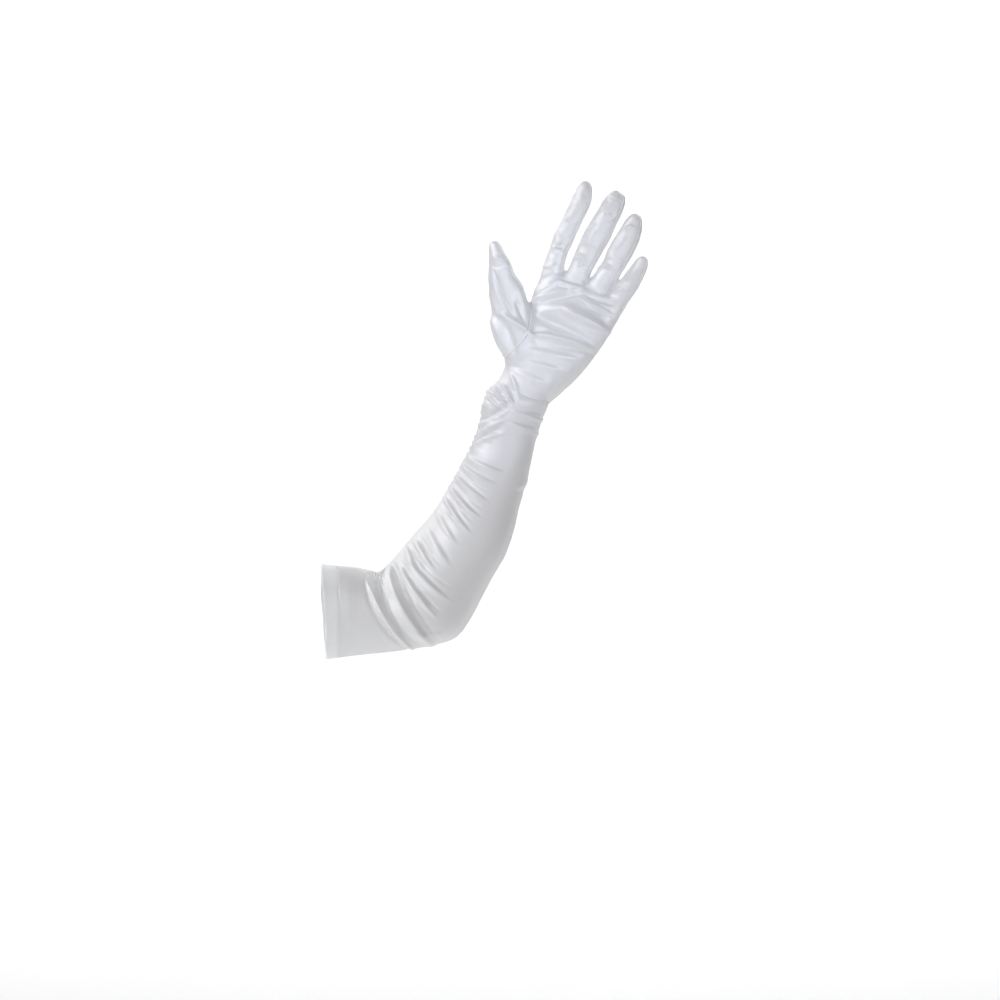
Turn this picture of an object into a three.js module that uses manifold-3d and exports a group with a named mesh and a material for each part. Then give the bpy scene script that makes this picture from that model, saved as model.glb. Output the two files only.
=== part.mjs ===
// A long satin evening glove for a left hand, in the shape that it takes on a bent arm with the
// hand held open. Sizes are in millimetres: +X points from the upper arm to the elbow, +Z up, and
// the palm faces -Y. The origin is the middle of the opening for the arm.
//
// Every piece is a wall of cloth, lofted through a table of sections and open to the next piece:
// hem band, sleeve, hand, four finger stalls and a set-in thumb.
import * as THREE from "three";
import { mergeVertices } from "three/addons/utils/BufferGeometryUtils.js";
import Module from "manifold-3d";

const wasm = await Module();
wasm.setup();

// Driving dimensions
const CLOTH = 1.3; // the satin with its backing
const HEM_CLOTH = 2.1; // the hem is turned in, so it is two cloths thick
const HEM_WIDTH = 12.4;
const SEAM_GAP = 0.3; // between one piece and the next
const THUMB_SEAM_SHIFT = 0.38; // moved over this far, the slanting thumb seam keeps that gap
const OVERSHOOT = 3; // how far a hollow runs on past the end that it opens
const TIP_WALL = 0.6; // in rows of the table: where the hollow ends before a tip
const KNUCKLE_WALL = 0.25; // and before the end of the palm between the fingers
const SATIN = 0xe9ebf2;
const HEM_SATIN = 0xe4e6ee;
const ARM_SIDES = 26;
const FINGER_SIDES = 12;
const THUMB_SIDES = 16;
const SMOOTH_STEP = 10; // between sections where the cloth lies smooth
const GATHERED_STEP = 5.2; // between sections where it is gathered
const FINGER_STEP = 7;
const THUMB_STEP = 8;
const MEASURES = 400; // points at which the length of a tube is measured

// Sections of the arm and the palm. x, y, z is the middle, across the half-width in the plane of
// the bent arm, deep the half-depth, heading the way that the arm runs, in degrees up from +X, and
// lead how far the palm side of the section is ahead of its middle.
const ARM = [
  { x: 0, y: 0, z: 0, across: 37.7, deep: 35.5, heading: 3, lead: 3 },
  { x: 14.6, y: 1.2, z: 0.4, across: 36.4, deep: 35, heading: 0.5, lead: 2.4 },
  { x: 28, y: 2.4, z: 0.6, across: 35, deep: 34.5, heading: 2, lead: 1.6 },
  { x: 43.6, y: 3.8, z: 0.4, across: 33.2, deep: 34.5, heading: 9.7, lead: 1 },
  { x: 57.8, y: 5, z: 1.2, across: 34, deep: 35.5, heading: 24, lead: 0.5 },
  { x: 76, y: 6, z: 6.4, across: 39.8, deep: 36.5, heading: 45, lead: 0 },
  { x: 85.6, y: 6, z: 17.6, across: 39.4, deep: 36, heading: 54, lead: 0 },
  { x: 93.2, y: 5.8, z: 29.2, across: 38.1, deep: 35.4, heading: 61, lead: 0 },
  { x: 102, y: 5.4, z: 42.4, across: 36.6, deep: 34.2, heading: 63, lead: 0 },
  { x: 114.4, y: 4.8, z: 59.6, across: 34.3, deep: 31.6, heading: 64, lead: 0 },
  { x: 122.8, y: 4.2, z: 76, across: 31.8, deep: 28.8, heading: 65, lead: 0 },
  { x: 129.2, y: 3.6, z: 92.4, across: 29.2, deep: 25.8, heading: 66, lead: 0 },
  { x: 134.8, y: 3, z: 106.4, across: 27.6, deep: 23.6, heading: 67, lead: 0 },
  { x: 140, y: 2.4, z: 119.4, across: 25.8, deep: 21.8, heading: 67, lead: 0 },
  { x: 144.4, y: 2, z: 133.2, across: 24.6, deep: 20.4, heading: 66, lead: 0 },
  { x: 148, y: 1.6, z: 148.6, across: 24.6, deep: 19.8, heading: 66, lead: 0 },
  { x: 152, y: 1.2, z: 162.4, across: 24.6, deep: 19.6, heading: 67, lead: 0 },
  { x: 158.6, y: 1, z: 174, across: 22.4, deep: 18.4, heading: 66, lead: 0 },
  { x: 169, y: 0.5, z: 187.6, across: 26, deep: 17.8, heading: 66, lead: 0 },
  { x: 179.8, y: 0, z: 204.5, across: 30.6, deep: 16.6, heading: 66, lead: 0 },
  { x: 191.4, y: 0, z: 222.9, across: 32.6, deep: 14.6, heading: 66, lead: 0 },
  { x: 198.8, y: 0, z: 239.8, across: 35.4, deep: 12.6, heading: 66, lead: 0 },
  { x: 206, y: 0, z: 255, across: 36, deep: 10.2, heading: 66, lead: 0 },
  { x: 208.6, y: 0, z: 260.8, across: 34.2, deep: 6.4, heading: 66, lead: 0 },
];
const CROOK_START = 2.4; // rows between which the cloth is gathered, here at the elbow
const CROOK_END = 7.4;
const GATHER_START = 10.4; // and here down the forearm to the wrist
const WRIST = 17.2; // the row where the sleeve ends and the hand begins

// Sections of each finger stall, from inside the palm to the tip. root is the row where the stall
// leaves the hand, past the webs on both sides of it.
const FINGERS = [
  {
    name: "finger_index",
    root: 1.2,
    rows: [
      { x: 178, y: 0, z: 252.8, across: 9, deep: 8.4 },
      { x: 183.2, y: 0, z: 272, across: 8.9, deep: 8.2 },
      { x: 188.4, y: -0.6, z: 289.6, across: 7.8, deep: 7.6 },
      { x: 191.4, y: -1, z: 297.6, across: 8.4, deep: 7.8 },
      { x: 196, y: -1.8, z: 307.2, across: 8, deep: 7.3 },
      { x: 205.6, y: -4, z: 327.2, across: 8, deep: 6.9 },
      { x: 208.4, y: -5, z: 335.2, across: 6.4, deep: 5.6 },
      { x: 209.7, y: -5.6, z: 340.8, across: 4.2, deep: 4 },
      { x: 210, y: -6, z: 344.6, across: 1.4, deep: 1.4 },
    ],
  },
  {
    name: "finger_middle",
    root: 1.15,
    rows: [
      { x: 193.2, y: 0, z: 249.6, across: 9.5, deep: 9 },
      { x: 204.2, y: 0, z: 271.8, across: 9.3, deep: 8.8 },
      { x: 213, y: -1, z: 289.6, across: 10.1, deep: 8.8 },
      { x: 219.2, y: -2, z: 301.6, across: 10.5, deep: 8.8 },
      { x: 225.8, y: -3.4, z: 313.6, across: 9.7, deep: 8.1 },
      { x: 231.6, y: -5, z: 324.8, across: 9, deep: 7.4 },
      { x: 235.2, y: -6, z: 330.8, across: 6.8, deep: 5.8 },
      { x: 238, y: -6.8, z: 334.8, across: 3.2, deep: 3 },
    ],
  },
  {
    name: "finger_ring",
    root: 1.15,
    rows: [
      { x: 209.2, y: 0, z: 240, across: 9, deep: 8.6 },
      { x: 218.8, y: 0, z: 257.6, across: 9, deep: 8.4 },
      { x: 229.6, y: -1.8, z: 273.6, across: 9.3, deep: 8.4 },
      { x: 238.8, y: -4.4, z: 289.6, across: 9.6, deep: 8.2 },
      { x: 244, y: -6.4, z: 300, across: 9.3, deep: 7.8 },
      { x: 247.2, y: -8, z: 308, across: 8, deep: 6.8 },
      { x: 249.6, y: -9.2, z: 314, across: 5.2, deep: 4.8 },
      { x: 251.2, y: -10, z: 318, across: 1.8, deep: 1.8 },
    ],
  },
  {
    name: "finger_little",
    root: 1.1,
    rows: [
      { x: 224.4, y: 0, z: 232, across: 8.4, deep: 8 },
      { x: 234.4, y: 0, z: 247.2, across: 8.4, deep: 7.8 },
      { x: 241.6, y: -3, z: 257.6, across: 8.4, deep: 7.6 },
      { x: 247.4, y: -6.6, z: 266.4, across: 7.5, deep: 7 },
      { x: 252.4, y: -10.8, z: 274.8, across: 6.3, deep: 5.9 },
      { x: 255, y: -13.4, z: 280, across: 4.4, deep: 4.2 },
      { x: 256.6, y: -15, z: 283.4, across: 1.6, deep: 1.6 },
    ],
  },
];

// Sections of the thumb, from its root in the hand to the tip
const THUMB = [
  { x: 161, y: 0, z: 190, across: 9, deep: 11 },
  { x: 158.4, y: -2.6, z: 209, across: 16, deep: 14.4 },
  { x: 153.6, y: -5.4, z: 227, across: 17.4, deep: 14 },
  { x: 149.4, y: -7.6, z: 242, across: 15.4, deep: 12.2 },
  { x: 145.2, y: -9.4, z: 254.6, across: 12.6, deep: 10.8 },
  { x: 141.4, y: -10.8, z: 265, across: 9.8, deep: 9.2 },
  { x: 139.4, y: -12, z: 276.8, across: 7.5, deep: 7.8 },
  { x: 138.2, y: -13, z: 285.6, across: 6.2, deep: 6.6 },
  { x: 137, y: -13.6, z: 291.4, across: 4.6, deep: 4.8 },
  { x: 136, y: -14, z: 296, across: 1.8, deep: 1.8 },
];

// The seam that sets the thumb in, as it runs over the palm, and the line that closes it round
// the outside of the thumb.
const THUMB_SEAM = [
  { x: 163.2, z: 256.4 },
  { x: 165.8, z: 248.4 },
  { x: 166.6, z: 239.2 },
  { x: 165.4, z: 230 },
  { x: 162.2, z: 221.6 },
  { x: 156.8, z: 213.6 },
  { x: 149.4, z: 206.4 },
  { x: 139, z: 200 },
];
const ROUND_THUMB = [
  { x: 110, z: 200 },
  { x: 110, z: 310 },
  { x: 160, z: 310 },
];
const OUT_OF_THUMB = new THREE.Vector2(0.8, -0.6); // the way from the thumb over its seam
const CUT_DEPTH = 60; // how far the cut along this seam runs to each side

// Folds of the cloth, seen from the palm side. Each runs from a over b to c, stands height proud
// of the cloth, or sinks in where that is negative, and spreads width to each side.
const FOLDS = [
  // The elbow: long rolls that start in the crook and fan out
  { face: "palm", ax: 37, az: 36, bx: 45, bz: 2, cx: 68, cz: -27, height: 2.4, width: 5 },
  { face: "palm", ax: 46, az: 30, bx: 53, bz: 0, cx: 66, cz: -22, height: -2.4, width: 4.4 },
  { face: "palm", ax: 48, az: 38, bx: 62, bz: 4, cx: 84, cz: -24, height: 3.4, width: 6 },
  { face: "palm", ax: 57, az: 36, bx: 66, bz: 10, cx: 76, cz: -6, height: -2.8, width: 4.4 },
  { face: "palm", ax: 58, az: 44, bx: 73, bz: 16, cx: 94, cz: -10, height: 2.4, width: 5 },
  { face: "back", ax: 40, az: 36, bx: 50, bz: 4, cx: 70, cz: -24, height: 2.4, width: 5 },
  { face: "back", ax: 50, az: 38, bx: 58, bz: 6, cx: 78, cz: -22, height: -2.2, width: 4.4 },
  { face: "back", ax: 56, az: 42, bx: 68, bz: 8, cx: 90, cz: -18, height: 3, width: 6 },
  { face: "back", ax: 64, az: 50, bx: 80, bz: 22, cx: 100, cz: 2, height: 2.2, width: 5 },
  // The forearm
  { face: "palm", ax: 66, az: 58, bx: 75, bz: 42, cx: 84, cz: 30, height: -1.8, width: 4.4 },
  { face: "palm", ax: 94, az: 98, bx: 103, bz: 84, cx: 112, cz: 70, height: 2, width: 4.6 },
  { face: "palm", ax: 99, az: 107, bx: 109, bz: 92, cx: 120, cz: 80, height: 2, width: 4.6 },
  { face: "palm", ax: 104, az: 118, bx: 114, bz: 102, cx: 128, cz: 90, height: 2, width: 4.6 },
  { face: "palm", ax: 109, az: 126, bx: 122, bz: 112, cx: 138, cz: 102, height: 2, width: 4.6 },
  { face: "back", ax: 94, az: 98, bx: 118, bz: 84, cx: 146, cz: 76, height: 1.8, width: 5 },
  { face: "back", ax: 106, az: 122, bx: 130, bz: 106, cx: 160, cz: 96, height: 2, width: 5 },
  // The wrist, where the spare length is pushed together
  { face: "palm", ax: 114, az: 137, bx: 136, bz: 145, cx: 162, cz: 146, height: 2.2, width: 4.8 },
  { face: "palm", ax: 119, az: 147, bx: 138, bz: 155, cx: 164, cz: 156, height: -2, width: 4 },
  { face: "palm", ax: 118, az: 160, bx: 134, bz: 170, cx: 150, cz: 162, height: 3, width: 6 },
  { face: "back", ax: 118, az: 160, bx: 142, bz: 163, cx: 174, cz: 152, height: 2.6, width: 6 },
  { face: "back", ax: 116, az: 140, bx: 142, bz: 143, cx: 170, cz: 136, height: 2.2, width: 5 },
  // The palm: folds that run from the web of the thumb towards the little finger
  { face: "palm", ax: 170, az: 247, bx: 188, bz: 254, cx: 206, cz: 258, height: 1.5, width: 4.6 },
  { face: "palm", ax: 168, az: 238, bx: 190, bz: 230, cx: 216, cz: 216, height: -1.5, width: 6 },
  { face: "palm", ax: 168, az: 214, bx: 196, bz: 219, cx: 222, cz: 213, height: 1.5, width: 5 },
];
const FOLD_STEPS = 8;
const FOLD_REACH = 2.4; // past this many widths a fold leaves the cloth as it is

// The value of a table's column between two of its rows, on a smooth curve through them
function column(rows, name, at) {
  const last = rows.length - 1;
  const row = THREE.MathUtils.clamp(Math.floor(at), 0, last - 1);
  const t = at - row;
  const value = (k) => rows[THREE.MathUtils.clamp(k, 0, last)][name] ?? 0;
  const [before, a, b, after] = [value(row - 1), value(row), value(row + 1), value(row + 2)];
  if (t < 0 || t > 1) return a + (b - a) * t;
  const square = 2 * before - 5 * a + 4 * b - after;
  const cube = 3 * a - before - 3 * b + after;
  return a + 0.5 * (t * (b - before) + t * t * square + t ** 3 * cube);
}

function middle(rows, at) {
  return new THREE.Vector3(...["x", "y", "z"].map((name) => column(rows, name, at)));
}

// How far a point of the cloth is lifted by the folds near it; facing is the y of its normal
function foldLift(point, facing) {
  let lift = 0;
  for (const fold of FOLDS) {
    const toward = fold.face === "palm" ? -facing : facing;
    const shown = THREE.MathUtils.smoothstep(toward, -0.3, 0.35);
    if (shown === 0) continue;
    const line = new THREE.QuadraticBezierCurve(
      new THREE.Vector2(fold.ax, fold.az),
      new THREE.Vector2(2 * fold.bx - (fold.ax + fold.cx) / 2, 2 * fold.bz - (fold.az + fold.cz) / 2),
      new THREE.Vector2(fold.cx, fold.cz),
    );
    let nearest = Infinity;
    let along = 0;
    let start = line.getPoint(0);
    for (let step = 1; step <= FOLD_STEPS; step++) {
      const end = line.getPoint(step / FOLD_STEPS);
      const run = end.clone().sub(start);
      const offset = new THREE.Vector2(point.x, point.z).sub(start);
      const t = THREE.MathUtils.clamp(offset.dot(run) / run.lengthSq(), 0, 1);
      const distance = offset.addScaledVector(run, -t).length();
      if (distance < nearest) {
        nearest = distance;
        along = (step - 1 + t) / FOLD_STEPS;
      }
      start = end;
    }
    if (nearest > FOLD_REACH * fold.width) continue;
    const ends = Math.sqrt(Math.max(0, Math.sin(Math.PI * along)));
    lift += fold.height * shown * ends * Math.exp(-((nearest / fold.width) ** 2));
  }
  return lift;
}

// One ring of points round a tube, inset from its outside by the thickness of the cloth
function ring(rows, at, sides, inset) {
  const centre = middle(rows, at);
  const run = middle(rows, at + 0.05).sub(middle(rows, at - 0.05)).normalize();
  if ("heading" in rows[0]) {
    const heading = THREE.MathUtils.degToRad(column(rows, "heading", at));
    run.set(Math.cos(heading), 0, Math.sin(heading));
  }
  const up = new THREE.Vector3(-run.z, 0, run.x).normalize();
  const back = up.clone().cross(run);
  const across = column(rows, "across", at);
  const deep = column(rows, "deep", at);
  const lead = column(rows, "lead", at);
  return Array.from({ length: sides }, (_, side) => {
    const angle = (2 * Math.PI * side) / sides;
    const point = centre.clone();
    point.addScaledVector(up, across * Math.cos(angle));
    point.addScaledVector(back, deep * Math.sin(angle));
    point.addScaledVector(run, (-lead * (point.y - centre.y)) / deep);
    const normal = up.clone().multiplyScalar(Math.cos(angle) / across);
    normal.addScaledVector(back, Math.sin(angle) / deep).normalize();
    return point.addScaledVector(normal, foldLift(point, normal.y) - inset);
  });
}

// A closed solid lofted through rings, its two ends closed by flat fans
function loft(rings) {
  const sides = rings[0].length;
  const points = rings.flat();
  const faces = [];
  for (let row = 0; row + 1 < rings.length; row++) {
    for (let side = 0; side < sides; side++) {
      const a = row * sides + side;
      const b = row * sides + ((side + 1) % sides);
      faces.push(b, a, a + sides);
      faces.push(b, a + sides, b + sides);
    }
  }
  for (const row of [0, rings.length - 1]) {
    const centre = rings[row].reduce((sum, point) => sum.add(point), new THREE.Vector3());
    points.push(centre.divideScalar(sides));
    for (let side = 0; side < sides; side++) {
      const a = row * sides + side;
      const b = row * sides + ((side + 1) % sides);
      faces.push(points.length - 1, ...(row === 0 ? [a, b] : [b, a]));
    }
  }
  return solid(new THREE.BufferGeometry().setFromPoints(points).setIndex(faces));
}

function solid(geometry) {
  geometry.deleteAttribute("normal");
  geometry.deleteAttribute("uv");
  const merged = mergeVertices(geometry);
  const vertProperties = merged.attributes.position.array;
  const triVerts = Uint32Array.from(merged.index.array);
  return new wasm.Manifold(new wasm.Mesh({ numProp: 3, vertProperties, triVerts }));
}

// The place in a table that lies a distance in millimetres past another
function past(rows, at, distance) {
  const row = middle(rows, at + 0.1).distanceTo(middle(rows, at)) / 0.1;
  return at + distance / row;
}

// Places for rings between two places in a table, no further apart than step says
function places(rows, from, to, step) {
  const at = (k) => THREE.MathUtils.lerp(from, to, k / MEASURES);
  const steps = [0];
  for (let k = 1; k <= MEASURES; k++) {
    const length = middle(rows, at(k)).distanceTo(middle(rows, at(k - 1)));
    steps.push(steps[k - 1] + length / step(at(k)));
  }
  const rings = Math.ceil(steps[MEASURES]);
  return Array.from({ length: rings + 1 }, (_, n) => {
    const wanted = (steps[MEASURES] * n) / rings;
    return at(Math.max(0, steps.findIndex((count) => count >= wanted - 1e-9)));
  });
}

// A stretch of tube as two solids: its outside, and the hollow to take out of it. The hollow runs
// on past each end, unless stop says where it ends short of a closed tip.
function stretch({ rows, from, to, sides, step, cloth = CLOTH, stop = null }) {
  const outside = places(rows, from, to, step);
  const hollow = outside.filter((at) => stop === null || at < stop - 0.1);
  hollow.unshift(past(rows, from, -OVERSHOOT));
  hollow.push(stop ?? past(rows, to, OVERSHOOT));
  return {
    outside: loft(outside.map((at) => ring(rows, at, sides, 0))),
    hollow: loft(hollow.map((at) => ring(rows, at, sides, cloth))),
  };
}

function wall({ outside, hollow }) {
  return outside.subtract(hollow);
}

// Several stretches that open into one another, as one wall
function joined(stretches) {
  const [first, ...rest] = stretches;
  const outside = rest.reduce((sum, part) => sum.add(part.outside), first.outside);
  const hollow = rest.reduce((sum, part) => sum.add(part.hollow), first.hollow);
  return wall({ outside, hollow });
}

// The space on the thumb's side of its seam, from one face of the hand to the other, with the
// seam moved out by a margin
function thumbSide(margin) {
  const seam = THUMB_SEAM.map(({ x, z }) => new THREE.Vector2(x, z).addScaledVector(OUT_OF_THUMB, margin));
  const round = ROUND_THUMB.map(({ x, z }) => new THREE.Vector2(x, z));
  const outline = new THREE.Shape([...seam, ...round]);
  const space = new THREE.ExtrudeGeometry(outline, { depth: 2 * CUT_DEPTH, bevelEnabled: false });
  space.rotateX(Math.PI / 2).translate(0, CUT_DEPTH, 0);
  return solid(space);
}

const lastRow = (rows) => rows.length - 1;
const hemEnd = past(ARM, 0, HEM_WIDTH);

function armStep(at) {
  const gathered = (at > CROOK_START && at < CROOK_END) || (at > GATHER_START && at < WRIST);
  return gathered ? GATHERED_STEP : SMOOTH_STEP;
}

function arm(from, to, more) {
  return stretch({ rows: ARM, from, to, sides: ARM_SIDES, step: armStep, ...more });
}

function stall({ rows }, from, to, more) {
  return stretch({ rows, from, to, sides: FINGER_SIDES, step: () => FINGER_STEP, ...more });
}

function hemBand() {
  return wall(arm(0, hemEnd, { cloth: HEM_CLOTH }));
}

function sleeve() {
  return wall(arm(past(ARM, hemEnd, SEAM_GAP), WRIST));
}

// The palm and the back of the hand, with the roots of the fingers and the thumb
function wholeHand() {
  const palm = arm(past(ARM, WRIST, SEAM_GAP), lastRow(ARM), { stop: lastRow(ARM) - KNUCKLE_WALL });
  const roots = FINGERS.map((finger) => stall(finger, 0, finger.root));
  const end = lastRow(THUMB);
  const thumb = stretch({
    rows: THUMB,
    from: 0,
    to: end,
    sides: THUMB_SIDES,
    step: () => THUMB_STEP,
    stop: end - TIP_WALL,
  });
  return joined([palm, ...roots, thumb]);
}

function fingerStall(finger) {
  const end = lastRow(finger.rows);
  return wall(stall(finger, past(finger.rows, finger.root, SEAM_GAP), end, { stop: end - TIP_WALL }));
}

function satin(colour) {
  return new THREE.MeshStandardMaterial({ color: colour, roughness: 0.34, metalness: 0 });
}

function piece(name, shape, colour = SATIN) {
  const { vertProperties, triVerts } = shape.getMesh();
  const geometry = new THREE.BufferGeometry();
  geometry.setAttribute("position", new THREE.BufferAttribute(vertProperties, 3));
  geometry.setIndex(new THREE.BufferAttribute(triVerts, 1));
  const mesh = new THREE.Mesh(geometry, satin(colour));
  mesh.name = name;
  return mesh;
}

const hand = wholeHand();
const glove = new THREE.Group();
glove.name = "opera_glove";
glove.add(
  piece("hem_band", hemBand(), HEM_SATIN),
  piece("sleeve", sleeve()),
  piece("hand", hand.subtract(thumbSide(THUMB_SEAM_SHIFT))),
  piece("thumb", hand.intersect(thumbSide(0))),
  ...FINGERS.map((finger) => piece(finger.name, fingerStall(finger))),
);

export default glove;
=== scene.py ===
import bpy
import numpy as np
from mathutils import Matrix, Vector
from mathutils.bvhtree import BVHTree


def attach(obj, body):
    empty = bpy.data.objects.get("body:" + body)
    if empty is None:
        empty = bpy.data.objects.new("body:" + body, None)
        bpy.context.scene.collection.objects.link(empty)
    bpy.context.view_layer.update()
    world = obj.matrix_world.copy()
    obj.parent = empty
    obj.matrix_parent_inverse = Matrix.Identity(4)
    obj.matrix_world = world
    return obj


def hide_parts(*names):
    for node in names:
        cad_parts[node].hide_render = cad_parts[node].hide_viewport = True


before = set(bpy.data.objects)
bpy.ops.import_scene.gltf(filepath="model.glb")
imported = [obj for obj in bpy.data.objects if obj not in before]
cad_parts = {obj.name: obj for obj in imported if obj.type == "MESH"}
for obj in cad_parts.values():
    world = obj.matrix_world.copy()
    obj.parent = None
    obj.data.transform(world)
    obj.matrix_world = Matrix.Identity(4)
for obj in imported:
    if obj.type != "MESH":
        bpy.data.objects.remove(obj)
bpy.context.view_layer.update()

MM = 0.001
PIXEL = 0.8  # millimetres in the plane of the bent arm for one pixel of the photo
PHOTO_ORIGIN = np.array([323.5, 612.0])  # the pixel where the middle of the arm's opening lies
CLOTH = 1.0  # wall of the dressed glove
HEM_WIDTH = 12.6
HEM_CLOTH = 2.1


def table(names, *rows):
    """Rows of numbers as one array for each named column."""
    return {name: np.array(column, float) for name, column in zip(names.split(), zip(*rows))}


# Sections of the arm and the palm: the middle, the half-width in the plane of the bent arm, the
# half-depth, the heading of the arm in degrees above +X, and how far the palm side leads.
ARM = table(
    "x y z across deep heading lead",
    (0, 0, 0, 37.7, 35.5, 3, 3), (14.6, 1.2, 0.4, 36.4, 35, 0.5, 2.4), (28, 2.4, 0.6, 35, 34.5, 2, 1.6),
    (43.6, 3.8, 0.4, 33.2, 34.5, 9.7, 1), (57.8, 5, 1.2, 34, 35.5, 24, 0.5),
    (76, 6, 6.4, 39.8, 36.5, 45, 0), (85.6, 6, 17.6, 39.4, 36, 54, 0),
    (93.2, 5.8, 29.2, 38.1, 35.4, 61, 0), (102, 5.4, 42.4, 36.6, 34.2, 63, 0),
    (114.4, 4.8, 59.6, 34.3, 31.6, 64, 0), (122.8, 4.2, 76, 31.8, 28.8, 65, 0),
    (129.2, 3.6, 92.4, 29.2, 25.8, 66, 0), (134.8, 3, 106.4, 27.6, 23.6, 67, 0),
    (140, 2.4, 119.4, 25.8, 21.8, 67, 0), (144.4, 2, 133.2, 24.6, 20.4, 66, 0),
    (148, 1.6, 148.6, 24.6, 19.8, 66, 0), (152, 1.2, 162.4, 24.6, 19.6, 67, 0),
    (158.6, 1, 174, 22.4, 18.4, 66, 0), (169, 0.5, 187.6, 26, 17.8, 66, 0),
    (179.8, 0, 204.5, 30.6, 16.6, 66, 0), (191.4, 0, 222.9, 32.6, 14.6, 66, 0),
    (198.8, 0, 239.8, 35.4, 12.8, 66, 0), (206, 0, 255, 36, 10.6, 66, 0),
    (208.6, 0, 260.8, 34.2, 7.4, 66, 0),
)
WRIST = 17.2  # the row at which the bunched end of the sleeve meets the hand

# Sections of the four fingers and the thumb, from inside the hand to the tip
FINGER_ROWS = {
    "index": (
        (178, 0, 252.8, 9, 8.4), (183.2, 0, 272, 8.9, 8.2), (188.4, -0.6, 289.6, 7.8, 7.6),
        (191.4, -1, 297.6, 8.4, 7.8), (196, -1.8, 307.2, 8, 7.3), (205.6, -4, 327.2, 8, 6.9),
        (208.2, -5, 335.2, 7, 5.9), (209.4, -5.6, 340.8, 5.4, 4.6), (209.8, -6, 344.2, 2.6, 2.2),
    ),
    "middle": (
        (193.2, 0, 249.6, 9.5, 9), (204.2, 0, 271.8, 9.3, 8.8), (213, -1, 289.6, 10.1, 8.8),
        (219.2, -2, 301.6, 10.5, 8.8), (225.8, -3.4, 313.6, 9.7, 8.1), (231.6, -5, 324.8, 9, 7.4),
        (235, -6, 330.8, 7.5, 5.8), (237.6, -6.8, 334.6, 4.8, 3.4),
    ),
    "ring": (
        (209.2, 0, 240, 9, 8.6), (218.8, 0, 257.6, 9, 8.4), (229.6, -1.8, 273.6, 9.3, 8.4),
        (238.8, -4.4, 289.6, 9.6, 8.2), (244, -6.4, 300, 9.3, 7.8), (247.2, -8, 308, 8, 6.8),
        (249.4, -9.2, 313.8, 6, 5), (250.9, -10, 317.4, 3.2, 2.6),
    ),
    "little": (
        (224.4, 0, 232, 8.4, 8), (234.4, 0, 247.2, 8.4, 7.8), (241.6, -3, 257.6, 8.4, 7.6),
        (247.4, -6.6, 266.4, 7.5, 7), (252.4, -10.8, 274.8, 6.3, 5.9), (254.8, -13.4, 279.8, 5, 4.5),
        (256.3, -15, 283, 2.8, 2.4),
    ),
    "thumb": (
        (161, 0, 190, 9, 11), (158.4, -2.6, 209, 16, 14.4), (153.6, -5.4, 227, 17.4, 14),
        (149.4, -7.6, 242, 15.4, 12.2), (145.2, -9.4, 254.6, 12.6, 10.8), (141.4, -10.8, 265, 9.8, 9.2),
        (139.4, -12, 276.8, 7.5, 7.8), (138.2, -13, 285.6, 6.2, 6.6), (137.2, -13.6, 291.2, 5.2, 5),
        (136.6, -14, 295.6, 3.4, 3),
    ),
}
FINGERS = {name: table("x y z across deep", *rows) for name, rows in FINGER_ROWS.items()}

# The seam that sets the thumb in, in pixels of the photo, and the line that goes round the thumb
THUMB_SEAM = table(
    "px py",
    (527.5, 292), (530.5, 302), (531.8, 313), (530.3, 324), (526.3, 335), (519.5, 345),
    (510, 354.5), (500, 361),
)
ROUND_THUMB = table("px py", (460, 361), (460, 225), (522, 225))


def folds(palm, back, both=()):
    """Folds on the palm side, on the back or on both. Each row has three pixels of the photo that
    it runs over, how high it stands on the cloth and how far it spreads to each side, and its
    lean, which is 0 where left out. A lean above 0 makes the left side, seen along the run, the
    steep one, with a hollow behind it."""
    rows = [
        (face, *row, 0)[:10] for face, side in ((1, palm), (-1, back), (0, both)) for row in side
    ]
    return table("face ax ay bx by cx cy height width lean", *rows)


ELBOW_FOLDS = folds(
    palm=(
        (366, 572, 390, 623, 428, 661, 3.2, 3.3, -0.5), (381, 578, 396, 621, 424, 658, -3, 1.5),
        (388, 556, 406, 611, 446, 657, 4, 4.6, 0.5), (391, 555, 412, 604, 452, 652, -2.6, 1.5),
        (398, 561, 416, 591, 441, 621, 2.3, 2.3), (401, 559, 421, 590, 444, 613, -1.8, 1.3),
        (405, 554, 427, 581, 455, 603, 1.5, 3, 0.4), (410, 548, 433, 574, 460, 590, -0.9, 1.6),
        (371, 577, 376, 574, 381, 579, 0.9, 1.2), (373, 583, 378, 580, 383, 585, 0.9, 1.2),
        (375, 589, 380, 586, 385, 591, 0.7, 1.2), (404, 626, 424, 634, 450, 630, 1.2, 2.8, 0.3),
        (350, 572, 350, 600, 354, 634, 0.4, 5),
    ),
    back=(
        (372, 570, 386, 608, 404, 646, 2.6, 4, -0.4), (384, 566, 404, 600, 430, 640, 3.4, 4.6, 0.4),
        (390, 562, 412, 594, 440, 628, -2, 1.8), (392, 560, 418, 590, 448, 618, 2.2, 3.6, 0.4),
        (400, 552, 428, 574, 458, 592, 1.6, 3.4, 0.4), (360, 580, 368, 616, 384, 652, 1.2, 4),
    ),
)
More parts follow.
